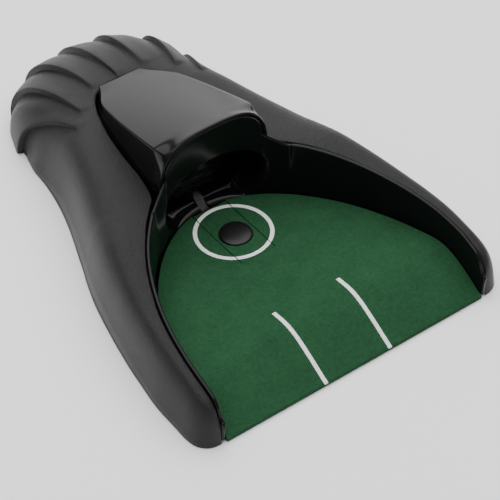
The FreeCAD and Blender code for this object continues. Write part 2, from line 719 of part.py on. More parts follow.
def battery_contacts():
    """Flat positive plates that meet the nubs."""
    plates = []
    for i, s in enumerate(cell_stations()):
        side = 1 if i % 2 == 0 else -1
        x = side * (BAY_HALF_X - 0.3)
        plates.append(box(x - 0.25, x + 0.25, s - 5, s + 5, BASE_TOP + 1.5, BASE_TOP + 12))
    return group(plates)


# Folded strip seen along the housing: distance from the bay's wall, height over the cell's middle.
LEAF = [(0, -4), (0, 4.3), (0.5, 4.3), (3.2, 0.6), (3.2, -0.6), (1.4, -3.6), (1.1, -3.4),
        (2.8, -0.5), (2.8, 0.5), (0.3, 3.9), (0.3, -4)]
LEAF_WIDTH = 7.0


def battery_springs():
    """Folded leaf springs that press on the flat end of each cell."""
    springs = []
    for i, s in enumerate(cell_stations()):
        side = 1 if i % 2 == 0 else -1
        wall = side * (BAY_HALF_X - 0.1)
        strip = [at(side * depth - wall, s - LEAF_WIDTH / 2, cell_z() + z) for depth, z in LEAF]
        springs.append(prism(strip, V(0, LEAF_WIDTH, 0)))
    return group(springs)


DOOR_HALF_X = 28.0
DOOR_FRONT = BAY_S - BAY_HALF_Y + 0.4
DOOR_REAR = BAY_S + BAY_HALF_Y - 0.4
DOOR_T = 1.6


def battery_door():
    """Flush door that turns on its half-round front edge, with a sprung catch at its rear edge."""
    half, edge_r = DOOR_HALF_X - GAP, DOOR_T / 2
    front = DOOR_FRONT + GAP + edge_r
    slab = box(-half, half, front, DOOR_REAR - GAP, RIM_Z, RIM_Z + DOOR_T)
    slab = slab.fuse(rod_x(-half, half, front, RIM_Z + edge_r, edge_r))
    catch = box(-7, 7, DOOR_REAR - 5, DOOR_REAR - GAP, RIM_Z, RIM_Z + DOOR_T)
    grooves = [box(-6, 6, s, s + 0.5, 0, RIM_Z + 0.4) for s in (DOOR_REAR - 4.2, DOOR_REAR - 3.2, DOOR_REAR - 2.2)]
    slots = [box(x, x + 0.8, DOOR_REAR - 9, DOOR_REAR, 0, 10) for x in (-8.2, 7.4)]
    return joined([slab, catch]).cut(group(grooves + slots))


# ---- base plate and fasteners -----------------------------------------------------------------
def rim_face(inset):
    """Outline of the base plate: the housing's rim line drawn in by its wall."""
    half = []
    for t in section_stations():
        rim_x, rim_s, crest_x, crest_s = line_at(t)[:4]
        if rim_s < 2.0:
            continue
        reach = math.hypot(crest_x - rim_x, crest_s - rim_s)
        half.append(at(rim_x + (crest_x - rim_x) * inset / reach, rim_s + (crest_s - rim_s) * inset / reach, 0))
    points = half + mirror_x(half[:-1])[::-1]
    return Part.Face(Part.makePolygon(points + [points[0]]))


def base_plate():
    """Flat floor plate with the battery opening, the switch window and the screw holes."""
    face = rim_face(WALL + 0.6)
    face.translate(V(0, 0, RIM_Z))
    plate = face.extrude(V(0, 0, BASE_T))
    door = box(-DOOR_HALF_X, DOOR_HALF_X, DOOR_FRONT, DOOR_REAR, 0, 10)
    window = box(-42.2, -33.0, 199.0, 203.0, 0, 10)
    posts = [rod_z(x, s, BASE_TOP, BOARD_Z, 3.0) for x, s in board_holes()]
    plate = plate.fuse(posts).removeSplitter()
    holes = [rod_z(x, s, 0, 10, 1.7) for x, s in boss_places()]
    holes += [rod_z(x, s, 0, RIM_Z + 1.2, 3.2) for x, s in boss_places()]
    holes += [rod_z(x, s, RIM_Z + 0.4, 10, 1.5) for x, s, _ in mechanism_places()]
    holes += [rod_z(x, s, BASE_TOP - 0.5, 12, 1.5) for x, s in board_holes()]
    ramp_toe = box(-94, 94, 0, 8.6, 0, 10)
    return plate.cut(group([door, window, ramp_toe] + holes))


def case_screws():
    screws = []
    for x, s in boss_places():
        head = rod_z(x, s, RIM_Z + 0.2, RIM_Z + 1.2, 2.8)
        cross = joined([box(x - 1.6, x + 1.6, s - 0.3, s + 0.3, 0, RIM_Z + 0.8),
                        box(x - 0.3, x + 0.3, s - 1.6, s + 1.6, 0, RIM_Z + 0.8)])
        screws.append(head.cut(cross).fuse(rod_z(x, s, RIM_Z + 1.2, BASE_TOP + 9, 1.45)))
    return group(screws)


def foot_places():
    half = [(99.0, 16.0), (76.0, 150.0), (38.0, 306.0 - 24.0)]
    return [(side * x, s) for x, s in half for side in (-1, 1)]


def rubber_feet():
    feet = []
    for x, s in foot_places():
        pad = rod_z(x, s, 0, RIM_Z, 5.0)
        feet.append(pad)
    return group(feet)


# ---- wires ------------------------------------------------------------------------------------
WIRE_R = 0.7


def wire(points):
    """Insulated wire: straight runs joined by tangent arcs, each as large as its runs allow."""
    edges = []
    last = points[0]
    for before, corner, after in zip(points, points[1:], points[2:]):
        way_in = (corner - before).normalize()
        way_out = (after - corner).normalize()
        cut = 0.45 * min((corner - before).Length, (after - corner).Length)
        turn = way_in.getAngle(way_out)
        start = corner - way_in * cut
        end = corner + way_out * cut
        radius = cut / math.tan(turn / 2)
        middle_way = (way_out - way_in).normalize()
        centre = corner + middle_way * math.hypot(radius, cut)
        edges.append(Part.LineSegment(last, start).toShape())
        edges.append(Part.Arc(start, centre - middle_way * radius, end).toShape())
        last = end
    edges.append(Part.LineSegment(last, points[-1]).toShape())
    way = (points[1] - points[0]).normalize()
    ring = Part.Wire(Part.makeCircle(WIRE_R, points[0], way))
    return Part.Wire(edges).makePipeShell([ring], True, False)


def battery_wires():
    """Pair from the tray's front wall to the header on the board."""
    tray_front = BAY_S - BAY_HALF_Y - 1.6
    runs = []
    for side, end_x in ((0.0, HEADER_X[1]), (2.4, HEADER_X[2])):
        runs.append(wire([at(29 + side, tray_front, 12), at(29 + side, 232, 12), at(35.6 + side, 221, 12),
                          at(35.6 + side, 206, 12), at(end_x, 193, 11.6), at(end_x, 183, 11.4)]))
    return group(runs)


def coil_wires():
    """Pair from the bobbin to the board."""
    return group([wire([at(13.2, s, 22), at(18, s, 22), at(28, s, 18), at(28, s, BOARD_Z + 1.6)])
                  for s in (213.0, 216.5)])


def sensor_wires():
    """Pair along the base plate from the sensor board to the control board."""
    z = BASE_TOP + 1.1
    return group([wire([at(11.4 + d, 131, z), at(11.4 + d, 139, z), at(15 + d, 152, z),
                        at(26 + d, 168, BOARD_Z + 0.8), at(26 + d, 176, BOARD_Z + 0.8)])
                  for d in (0.0, 2.0)])


# ---- export -----------------------------------------------------------------------------------
NODES = [
    housing_shell, hood_cover, ball_well, base_plate, rubber_feet, case_screws,
    ramp_deck, putting_turf, guide_lines, target_ring,
    kick_flap, flap_turf, flap_ring, flap_hinge_pin, dome_button, dome_clip,
    sensor_board, sensor_switch, sensor_stem,
    lift_lever, lever_pin, lever_bracket, lever_spring, clevis_pin,
    solenoid_plunger, solenoid_frame, solenoid_bobbin, solenoid_coil, solenoid_bracket, mechanism_screws,
    control_board, board_screws, storage_capacitors, driver_transistor, wire_header,
    power_switch, switch_knob,
    battery_tray, battery_cells, battery_contacts, battery_springs, battery_door,
    battery_wires, coil_wires, sensor_wires,
]

os.makedirs("parts", exist_ok=True)
for make in NODES:
    shape = make()
    shape.exportStep("parts/" + make.__name__ + ".step")
    box_ = shape.BoundBox
    print(make.__name__, "valid", shape.isValid(), "solids", len(shape.Solids),
          "volume", round(shape.Volume), "z", round(box_.ZMin, 2), round(box_.ZMax, 2))
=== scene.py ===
"""Electric ball-return putting cup, dressed around its CAD frame.

Metres in the row frame: +X right, +Y to the fluted rear, +Z up. Shapes are worked out in
millimetres, with stations along the length counted from the ramp's front edge.
"""
import math

import bpy
import numpy as np
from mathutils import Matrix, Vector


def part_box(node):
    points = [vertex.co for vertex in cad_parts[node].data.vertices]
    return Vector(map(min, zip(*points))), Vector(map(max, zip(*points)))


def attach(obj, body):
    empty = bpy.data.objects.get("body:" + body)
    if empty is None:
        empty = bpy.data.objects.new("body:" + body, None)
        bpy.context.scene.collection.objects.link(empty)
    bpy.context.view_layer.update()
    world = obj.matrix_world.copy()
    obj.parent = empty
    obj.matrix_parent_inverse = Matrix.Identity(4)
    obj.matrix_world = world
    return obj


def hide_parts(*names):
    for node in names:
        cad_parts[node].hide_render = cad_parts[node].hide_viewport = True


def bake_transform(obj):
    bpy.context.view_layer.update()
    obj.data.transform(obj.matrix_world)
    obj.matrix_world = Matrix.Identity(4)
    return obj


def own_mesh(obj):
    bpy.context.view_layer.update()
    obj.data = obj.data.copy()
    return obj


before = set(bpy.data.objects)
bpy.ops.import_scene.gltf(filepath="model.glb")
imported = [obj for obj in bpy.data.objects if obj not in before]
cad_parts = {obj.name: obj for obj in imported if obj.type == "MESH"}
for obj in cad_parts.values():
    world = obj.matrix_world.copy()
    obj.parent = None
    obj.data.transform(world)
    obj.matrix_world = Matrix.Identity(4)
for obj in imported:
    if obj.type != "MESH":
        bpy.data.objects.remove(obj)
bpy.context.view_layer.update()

# ---- camera ------------------------------------------------------------------------------------
# A long lens on a tripod, in front of the cup's left corner and looking down on it.
camera_data = bpy.data.cameras.new("camera")
camera_data.lens = 147.9
camera = bpy.data.objects.new("camera", camera_data)
camera.location = (-0.5094, -0.7528, 0.8955)
camera.rotation_euler = (math.radians(44.34), 0.0, math.radians(-36.056))
bpy.context.scene.collection.objects.link(camera)
bpy.context.scene.camera = camera

# ---- housing shell -----------------------------------------------------------------------------
# A thin-walled black ABS moulding with a fine pebble grain. It wraps round the green from one
# arm's tip to the other, and its rounded rear carries seven moulded flutes that fan outwards.
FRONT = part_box("housing_shell")[1].y - 0.320
RIM_Z = 0.8
WALL = 2.4

# Rim x and s, crest x, s and z, lean, and the shoulder's exponent, from the right arm's tip round
# to the rear centre.
LINES = [
    (96.4, 1.2, 96.4, 4.0, 18.0, 0.5, 2.5), (100.5, 1.5, 96.4, 6.0, 24.0, 1.5, 2.6),
    (105.0, 3.4, 96.4, 8.5, 27.5, 2.5, 2.8), (109.0, 8.0, 96.4, 12.0, 30.0, 4.0, 3.0),
    (110.8, 15.0, 96.4, 17.0, 32.0, 4.5, 3.2), (111.0, 25.0, 96.3, 26.0, 34.5, 5.0, 3.4),
    (111.0, 45.0, 94.6, 45.0, 37.8, 5.5, 3.6), (109.0, 63.0, 91.4, 62.0, 39.5, 5.5, 4.0),
    (106.8, 80.0, 86.4, 79.0, 41.0, 6.0, 4.3), (102.2, 105.0, 75.6, 104.0, 44.0, 6.5, 4.8),
    (96.5, 130.0, 61.2, 125.8, 47.4, 7.0, 5.0), (90.8, 148.0, 49.8, 138.8, 48.2, 7.0, 5.0),
    (87.0, 158.0, 43.4, 146.0, 48.4, 7.0, 5.0), (81.6, 173.0, 39.5, 162.0, 48.8, 7.0, 5.0),
    (74.6, 193.0, 37.5, 184.0, 49.2, 7.0, 5.0), (68.8, 214.0, 34.6, 205.0, 49.4, 7.0, 4.8),
    (65.2, 236.0, 29.6, 224.0, 49.5, 6.5, 3.4), (64.4, 256.0, 25.2, 234.5, 49.5, 4.5, 2.7),
    (61.4, 279.0, 20.0, 241.4, 49.5, 2.5, 2.5), (51.5, 299.5, 12.6, 245.0, 49.5, 1.0, 2.3),
    (29.0, 315.6, 7.0, 245.6, 49.5, 0.0, 2.3), (0.0, 320.0, 0.0, 245.6, 49.5, 0.0, 2.3),
    (-29.0, 315.6, -7.0, 245.6, 49.5, 0.0, 2.3),
]
# Each flute: x and s of its inner end, its drift in x per station and the curl of that drift, and
# the depth and width of the scooped panel on its left.
FLUTES = [
    (-46.3, 221.0, -0.20, -0.0028, 3.2, 36.0), (-36.7, 231.0, -0.12, -0.0006, 3.0, 20.0),
    (-19.2, 245.6, -0.04, -0.0018, 2.8, 18.0), (0.2, 246.5, 0.0, -0.0008, 2.4, 18.0),
    (19.2, 245.6, 0.05, -0.0002, 2.4, 17.0), (36.0, 234.0, 0.24, -0.0006, 2.4, 17.0),
    (46.3, 221.0, 0.20, 0.0028, 2.0, 17.0),
]
STEP_HEIGHT, STEP_FALL, STEP_FADE = 1.2, 9.0, 26.0
RUN_IN, SCOOP_RUN, SCOOP_START = 5.0, 58.0, 0.5


def smooth_rows(rows, t):
    """Rows of numbers read at fractional row numbers t. Each span is the cubic that passes
    through its two rows with slopes of half the difference of the rows on either side."""
    rows = np.asarray(rows, float)
    i = np.clip(np.asarray(t).astype(int), 0, len(rows) - 2)
    f = (t - i)[:, None]
    before, here, there = rows[np.maximum(i - 1, 0)], rows[i], rows[i + 1]
    after = rows[np.minimum(i + 2, len(rows) - 1)]
    ease = f * f * (3 - 2 * f)
    bend = (there - before) / 2 * f * (1 - f) ** 2 - (after - here) / 2 * f * f * (1 - f)
    return here * (1 - ease) + there * ease + bend


def ease(x):
    """0 below 0, 1 above 1, and the cubic 3x^2 - 2x^3 between."""
    x = np.clip(x, 0, 1)
    return x * x * (3 - 2 * x)


def mesh_object(name, points, faces):
    """A mesh from station-frame points in millimetres, turned outwards if its volume, the sum of
    its faces' corner-to-origin wedges, is negative."""
    points = points * 0.001 + np.array([0.0, FRONT, 0.0])
    faces = np.asarray(faces)
    a, b, c, d = (points[faces[:, i]] for i in range(4))
    wedges = np.einsum("ij,ij->i", a, np.cross(b, c)) + np.einsum("ij,ij->i", a, np.cross(c, d))
    if wedges.sum() < 0:
        faces = faces[:, ::-1]
    mesh = bpy.data.meshes.new(name)
    mesh.vertices.add(len(points))
    mesh.vertices.foreach_set("co", points.ravel())
    mesh.loops.add(faces.size)
    mesh.loops.foreach_set("vertex_index", faces.ravel().astype(np.int32))
    mesh.polygons.add(len(faces))
    mesh.polygons.foreach_set("loop_start", np.arange(0, faces.size, 4, dtype=np.int32))
    mesh.update(calc_edges=True)
    mesh.validate()
    mesh.polygons.foreach_set("use_smooth", np.ones(len(mesh.polygons), bool))
    obj = bpy.data.objects.new(name, mesh)
    bpy.context.scene.collection.objects.link(obj)
    return obj


def ring_faces(columns, points):
    """Quads of a bar made of rings, with each end closed by a ladder of quads across its ring."""
    c, i = np.meshgrid(np.arange(columns - 1), np.arange(points), indexing="ij")
    here, ahead = c * points + i, c * points + (i + 1) % points
    sides = np.stack([here, here + points, ahead + points, ahead], -1).reshape(-1, 4)
    k = np.arange(points // 2 - 1)
    cap = np.stack([k, k + 1, points - 2 - k, points - 1 - k], -1)
    return np.concatenate([sides, cap, cap[:, ::-1] + (columns - 1) * points])


def ring_solid(name, rings):
    """A closed solid from a grid of rings, each row of the grid one ring."""
    return mesh_object(name, rings.reshape(-1, 3), ring_faces(*rings.shape[:2]))


def both_sides(half):
    """Right-hand rings, then the same rings mirrored and in reverse to the left arm's tip."""
    return np.concatenate([half, half[-2::-1] * np.array([-1.0, 1.0, 1.0])])


def grid_normals(grid):
    """Unit normals of a grid of points: the cross product of its two directions."""
    along, across = np.gradient(grid, axis=0), np.gradient(grid, axis=1)
    normal = np.cross(along, across)
    return normal / np.maximum(np.linalg.norm(normal, axis=2, keepdims=True), 1e-9)


def flute_height(skin):
    """Height of the flutes over the skin. Each one is a step that faces left: 1 mm wide and
    1.2 mm high, a slow fall over 9 mm on its right, and on its left a scooped panel that deepens
    towards the rear. The distance from its line is scaled to run along the skin."""
    height = np.zeros(skin.shape[:2])
    step_a = np.linalg.norm(np.gradient(skin, axis=0), axis=2) + 1e-6
    step_b = np.linalg.norm(np.gradient(skin, axis=1), axis=2) + 1e-6
    for x0, s0, drift, curl, scoop, reach in FLUTES:
        along = skin[..., 1] - s0
        run = np.maximum(along, 0)
        aside = skin[..., 0] - x0 - drift * run - curl * run ** 2
        slope = np.hypot(np.gradient(aside, axis=0) / step_a, np.gradient(aside, axis=1) / step_b)
        away = aside / np.clip(slope, 0.3, 1.0)
        step = ease(away + 1.0)
        ridge = step * (1 - 0.8 * ease(away / STEP_FALL))
        hollow = np.clip((away + reach) / (reach - 1), 0, 1) ** 1.6 * (1 - step)
        height += STEP_HEIGHT * ridge * ease(along / RUN_IN) * ease((STEP_FADE - away) / 10)
        height -= hollow * (SCOOP_START * ease(along / RUN_IN) + scoop * ease(along / SCOOP_RUN))
    return height


t = np.concatenate([np.arange(0, 13, 0.125), np.linspace(13, 21, 320)])
rim_x, rim_s, crest_x, crest_s, crest_z, lean, power = (c[:, None] for c in smooth_rows(LINES, t).T)
reach = np.hypot(crest_x - rim_x, crest_s - rim_s)
way = np.stack([(crest_x - rim_x) / reach, (crest_s - rim_s) / reach, np.zeros_like(reach)], -1)
lean = np.minimum(lean, reach * 0.6)
edge = np.minimum(0.9, reach * 0.1)
angle = np.radians(np.linspace(0, 90, 58))[None, :]
rise = np.sin(angle) ** (2 / power)
run = 1 - np.abs(np.cos(angle)) ** (2 / power)
run[:, -1] = 1.0
inward = lean * rise + (reach - edge - lean) * run
start = np.stack([rim_x, rim_s, np.zeros_like(rim_x)], -1)
up = np.array([0.0, 0.0, 1.0])
skin = start + way * inward[..., None] + up * (RIM_Z + (crest_z - RIM_Z) * rise)[..., None]
normals = grid_normals(skin)
thin = np.minimum(WALL, 0.45 * reach)[..., None]
lining = (skin - normals * thin)[:, ::4]
lining[..., 2] = np.maximum(lining[..., 2], RIM_Z)
lining[:, 0, 2] = RIM_Z
fold = np.radians(np.array([25.0, 50.0, 75.0, 90.0]))[None, :]
turn = start + way * (reach - edge + edge * np.sin(fold))[..., None]
turn = turn + up * (crest_z - edge * (1 - np.cos(fold)))[..., None]
under = start + way * reach[..., None] + up * (crest_z - thin[..., 0])[..., None]
whole_skin = both_sides(skin)
outward = both_sides(normals)
fluted = whole_skin + outward * flute_height(whole_skin)[..., None]
fluted[..., 2] = np.maximum(fluted[..., 2], RIM_Z)
lining = lining[:, -2::-1]
rings = np.concatenate([fluted, both_sides(turn), both_sides(under), both_sides(lining)], 1)
shell = ring_solid("shell_moulding", rings[:, :rings.shape[1] // 2 * 2])
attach(shell, "housing")
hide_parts("housing_shell")


# The ABS, and the node groups and helpers that every other finish is made with. The grains work in
# the part's own coordinates, so they stay put when a piece moves.
def socketed(tree, inputs, outputs):
    """Gives a node group its named sockets."""
    for name, socket in inputs:
        tree.interface.new_socket(name, in_out="INPUT", socket_type=socket)
    for name, socket in outputs:
        tree.interface.new_socket(name, in_out="OUTPUT", socket_type=socket)


def wire(tree, *pairs):
    """Links each pair of sockets."""
    for source, target in pairs:
        tree.links.new(source, target)


def grain_group(name, build):
    """A node group with two tones, a scale, two roughnesses and a depth going in, and a colour,
    a roughness and a normal coming out. `build` adds its own textures and returns two masks."""
    tree = bpy.data.node_groups.new(name, "ShaderNodeTree")
    socketed(tree,
             [("Tone A", "NodeSocketColor"), ("Tone B", "NodeSocketColor"),
              ("Scale", "NodeSocketFloat"), ("Rough A", "NodeSocketFloat"),
              ("Rough B", "NodeSocketFloat"), ("Depth", "NodeSocketFloat")],
             [("Color", "NodeSocketColor"), ("Roughness", "NodeSocketFloat"),
              ("Normal", "NodeSocketVector")])
    nodes = tree.nodes
    given, result = nodes.new("NodeGroupInput"), nodes.new("NodeGroupOutput")
    place = nodes.new("ShaderNodeTexCoord")
    patch, height = build(tree, place.outputs["Object"], given.outputs["Scale"])
    tone = nodes.new("ShaderNodeMix")
    tone.data_type = "RGBA"
    sheen = nodes.new("ShaderNodeMix")
    bump = nodes.new("ShaderNodeBump")
    bump.inputs["Strength"].default_value = 1.0
    wire(tree, (patch, tone.inputs["Factor"]), (given.outputs["Tone A"], tone.inputs["A"]),
         (given.outputs["Tone B"], tone.inputs["B"]),
         (tone.outputs["Result"], result.inputs["Color"]))
    wire(tree, (patch, sheen.inputs["Factor"]), (given.outputs["Rough A"], sheen.inputs["A"]),
         (given.outputs["Rough B"], sheen.inputs["B"]),
         (sheen.outputs["Result"], result.inputs["Roughness"]))
    wire(tree, (height, bump.inputs["Height"]), (given.outputs["Depth"], bump.inputs["Distance"]),
         (bump.outputs["Normal"], result.inputs["Normal"]))
    return tree


def texture(tree, kind, where, scale, **settings):
    """A texture node read at the object's coordinates times a scale."""
    node = tree.nodes.new(kind)
    wire(tree, (where, node.inputs["Vector"]))
    if isinstance(scale, (int, float)):
        node.inputs["Scale"].default_value = scale
    else:
        wire(tree, (scale, node.inputs["Scale"]))
    for name, value in settings.items():
        if hasattr(node, name):
            setattr(node, name, value)
        else:
            node.inputs[name.replace("_", " ").title()].default_value = value
    return node


def times(tree, value, factor, extra=0.0):
    """value * factor + extra."""
    node = tree.nodes.new("ShaderNodeMath")
    node.operation = "MULTIPLY_ADD"
    node.inputs[1].default_value = factor
    node.inputs[2].default_value = extra
    wire(tree, (value, node.inputs[0]))
    return node.outputs[0]


def plus(tree, a, b):
    """a + b."""
    node = tree.nodes.new("ShaderNodeMath")
    wire(tree, (a, node.inputs[0]), (b, node.inputs[1]))
    return node.outputs[0]


def pebble(tree, where, scale):
    """Spark-eroded pebble grain: rounded cells over a soft unevenness."""
    cells = texture(tree, "ShaderNodeTexVoronoi", where, scale, feature="SMOOTH_F1")
    cells.inputs["Smoothness"].default_value = 0.6
    fine = texture(tree, "ShaderNodeTexNoise", where, scale, detail=3.0)
    broad = texture(tree, "ShaderNodeTexNoise", where, 14.0, detail=2.0)
    height = plus(tree, times(tree, cells.outputs["Distance"], -1.0),
                  times(tree, fine.outputs["Fac"], 0.7))
    uneven = plus(tree, broad.outputs["Fac"], times(tree, fine.outputs["Fac"], 0.5))
    return times(tree, uneven, 1.0, -0.2), height


def finish_of(slot, grain_kind, tone_a, tone_b, scale, rough_a, rough_b, depth, **shader):
    """One material: the shared grain feeds colour, roughness and normal of its own shader."""
    material = bpy.data.materials.new(slot.replace("_", " "))
    material.use_nodes = True
    tree = material.node_tree
    surface = tree.nodes["Principled BSDF"]
    grain = tree.nodes.new("ShaderNodeGroup")
    grain.node_tree = grain_kind
    values = (tone_a + (1.0,), tone_b + (1.0,), scale, rough_a, rough_b, depth)
    for socket, value in zip(grain.inputs, values):
        socket.default_value = value
    wire(tree, (grain.outputs["Color"], surface.inputs["Base Color"]),
         (grain.outputs["Roughness"], surface.inputs["Roughness"]),
         (grain.outputs["Normal"], surface.inputs["Normal"]))
    for name, value in shader.items():
        surface.inputs[name.replace("_", " ").title().replace("Ior", "IOR")].default_value = value
    return material


def wear(material, *pieces):
    """Gives one material to new pieces and to CAD nodes, which are called by name."""
    for piece in pieces:
        worn = (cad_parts[piece] if isinstance(piece, str) else piece).data.materials
        worn.clear()
        worn.append(material)


pebble_grain = grain_group("pebble grain", pebble)
shell_black = finish_of("shell_black", pebble_grain, (.004, .004, .0042), (.008, .008, .0083),
                        1700.0, .32, .44, .00034, specular_ior_level=.26)
wear(shell_black, shell, "housing_shell")

# ---- ball well ---------------------------------------------------------------------------------
# The smooth inner moulding in gloss black ABS: a drafted wall round the green with a rounded
# bead along its top, an arched lip over the pocket and a shallow recess that stops the ball.
GREEN_HALF, GREEN_STRAIGHT, GREEN_DEPTH, GREEN_POWER = 93.5, 15.0, 137.8, 1.9
HOOD_FRONT, HOOD_REAR, HOOD_HALF, HOOD_TOP = 141.6, 244.4, 39.4, 84.4
HOOD_FOOT, LIP_POWER, LIP_LEAN = 47.0, 3.0, 0.06
BASE_TOP, WELL_WALL, RECESS_BACK = 2.8, 2.4, 161.0


def green_end(x):
    """Station of the green's end: straight sides, then depth (1 - |x / half|^1.9)^(1 / 1.9)."""
    inside = np.clip(1 - np.abs(x / GREEN_HALF) ** GREEN_POWER, 0, 1)
    return GREEN_STRAIGHT + GREEN_DEPTH * inside ** (1 / GREEN_POWER)


def crest_height(s):
    """Height of the housing's crest at a station, read between its lines."""
    rows = np.array(LINES[:-1])
    return np.interp(s, rows[:, 3], rows[:, 4])


tip_s = np.array([1.2, 4.0, 8.0, 12.0])
tip = np.stack([0 * tip_s + GREEN_HALF, tip_s, 0 * tip_s + GREEN_HALF + 0.1, tip_s,
                np.where(tip_s < 2, 16.0, crest_height(tip_s)), 0 * tip_s + 1, 0 * tip_s], 1)
a = np.radians(np.arange(0, 60, 2.6))
x = GREEN_HALF * np.cos(a) ** (2 / GREEN_POWER)
a, x = a[x > HOOD_HALF + 3.5], x[x > HOOD_HALF + 3.5]
s = GREEN_STRAIGHT + GREEN_DEPTH * np.sin(a) ** (2 / GREEN_POWER)
out = np.stack([np.cos(a), np.sin(a) * GREEN_HALF / GREEN_DEPTH], 1)
out = out / np.linalg.norm(out, axis=1, keepdims=True)
draft = np.minimum(3.0, 0.1 + 0.03 * (s - GREEN_STRAIGHT))
side = np.stack([x, s, x + out[:, 0] * draft, s + out[:, 1] * draft, crest_height(s),
                 out[:, 0], out[:, 1]], 1)
a = np.radians(np.arange(10, 91, 5.0))
lip_x = (HOOD_HALF - 3.9) * np.abs(np.cos(a)) ** (2 / LIP_POWER)
lip_z = HOOD_FOOT + (HOOD_TOP - HOOD_FOOT - 3.0) * np.sin(a) ** (2 / LIP_POWER)
foot_x = lip_x + np.cos(a)
out = np.stack([0.35 * np.cos(a), 0 * a + 1], 1)
out = out / np.linalg.norm(out, axis=1, keepdims=True)
lip_s = HOOD_FRONT + LIP_LEAN * (lip_z - HOOD_FOOT)
lip = np.stack([foot_x, green_end(foot_x) + 0.35, lip_x, lip_s, lip_z, out[:, 0], out[:, 1]], 1)
rows = np.concatenate([tip, side, lip])
past = rows[-2] * np.array([-1, 1, -1, 1, 1, -1, 1])
last = len(rows) - 1
t = np.concatenate([np.arange(0, last - 18, 0.4), np.linspace(last - 18, last - 15, 44)[:-1],
                    np.linspace(last - 15, last, 86)])
path = smooth_rows(np.concatenate([rows, past[None]]), t)
foot = np.stack([path[:, 0], path[:, 1], 0 * t + BASE_TOP], 1)[:, None]
crest = path[:, 2:5][:, None]
out = np.stack([path[:, 5], path[:, 6], 0 * t], 1)[:, None]
out = out / np.linalg.norm(out, axis=2, keepdims=True)
climb = np.linspace(0, 1, 151)[None, :, None]
face = both_sides(foot + (crest - foot) * climb)
crest, out = both_sides(crest), both_sides(out)
edge_way = np.gradient(crest, axis=0)
rise = np.cross(edge_way, out)
rise = rise / np.linalg.norm(rise, axis=2, keepdims=True)
rise = rise * np.sign(rise[:1, :1, 2:])
rise = rise * np.where((rise * (crest - face[:, :1])).sum(2, keepdims=True) < 0, -1, 1)
round_off = np.radians(np.linspace(0, 180, 14)[1:-1])[None, :, None]
radius = WELL_WALL / 2
bead = crest + out * radius * (1 - np.cos(round_off)) + rise * radius * np.sin(round_off)

# The recess: everything inside its arched outline is pushed back to a flat rear wall, with a
# rounded edge round its mouth. The outline is an arch above its springing line and a tapering
# cup below it, and three shallow louvre ribs cross the rear wall.
RECESS_HALF, SPRINGING, RECESS_RISE, RECESS_POWER = 37.5, 31.0, 23.0, 2.3
TAPER, TAPER_DROP, LEDGE_Z, MOUTH_EDGE = 12.5, 22.0, 9.6, 3.0
RIB_MIDDLE, RIB_PITCH, RIB_SPAN, RIB_T = 27.0, 5.0, 7.4, 0.8
RIB_X, RIB_HALF = -3.0, 15.0


def recess_depth(x, z):
    """0 outside the recess, 1 well inside it. Over the springing line the distance inside is that
    of |x / half|^2.3 + |z / rise|^2.3 = 1; below, that of half - taper (below / drop)^2."""
    over, below = np.maximum(z - SPRINGING, 0), np.maximum(SPRINGING - z, 0)
    radius = np.hypot(x, over) + 1e-6
    across, high = np.abs(x) / radius / RECESS_HALF, over / radius / RECESS_RISE
    edge = (across ** RECESS_POWER + high ** RECESS_POWER + 1e-9) ** (-1 / RECESS_POWER)
    tapered = RECESS_HALF - TAPER * (below / TAPER_DROP) ** 2 - np.abs(x)
    inside = np.where(over > 0, edge - radius, tapered)
    return ease(inside / MOUTH_EDGE + 0.1) * ease((z - LEDGE_Z) / 0.8)


def recessed(points, back):
    """Points moved back by the recess's depth towards the wall's station, less the ribs."""
    points = points.copy()
    x, z = points[..., 0], points[..., 2]
    depth = recess_depth(x, z) * (points[..., 1] > 120)
    off = np.abs((z - RIB_MIDDLE + RIB_PITCH / 2) % RIB_PITCH - RIB_PITCH / 2)
    rib = ease(1.6 - off / RIB_T) * (np.abs(z - RIB_MIDDLE) < RIB_SPAN)
    rib = RIB_T * rib * ease((RIB_HALF - np.abs(x - RIB_X)) / 1.5)
    points[..., 1] += np.maximum(back - points[..., 1] - rib, 0) * depth
    return points


back_face = recessed(face + out * WELL_WALL, RECESS_BACK + 2.0)[:, ::5]
face = recessed(face, RECESS_BACK)
rings = np.concatenate([face, bead, back_face[:, ::-1]], 1)
columns, points = rings.shape[:2]
faces = ring_faces(columns, points)
# Two openings low in the pocket: the lever's slot and the notch for the sensor's wires.
SLOT_HALF, SLOT_TOP = 3.8, 19.5
NOTCH_LEFT, NOTCH_RIGHT, NOTCH_TOP = 10.5, 20.5, 5.2
column, row = faces[:, 0] // points, faces[:, 0] % points
middle, low = rings[column, row, 0], rings[column, row, 2]
on_side = np.arange(len(faces)) < (columns - 1) * points
pocket = rings[column, 0, 1] > 140
slot_cut = (np.abs(middle) < SLOT_HALF) & (low < SLOT_TOP) & pocket
notch_cut = (middle > NOTCH_LEFT) & (middle < NOTCH_RIGHT) & (low < NOTCH_TOP) & pocket
faces = faces[~((slot_cut | notch_cut) & on_side)]
well = mesh_object("well_moulding", rings.reshape(-1, 3), faces)
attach(well, "housing")
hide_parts("ball_well")


def polish(tree, where, scale):
    """Moulded gloss: faint ripples from the flow of the plastic and a trace of fine dust."""
    ripple = texture(tree, "ShaderNodeTexNoise", where, 22.0, detail=1.0)
    dust = texture(tree, "ShaderNodeTexNoise", where, scale, detail=4.0)
    height = plus(tree, ripple.outputs["Fac"], times(tree, dust.outputs["Fac"], 0.02))
    return dust.outputs["Fac"], height


moulded_polish = grain_group("moulded polish", polish)
gloss_black = finish_of("gloss_black", moulded_polish, (.004, .004, .0045), (.006, .006, .0065),
                        700.0, .14, .20, .00006, specular_ior_level=.20)
wear(gloss_black, well, "ball_well")

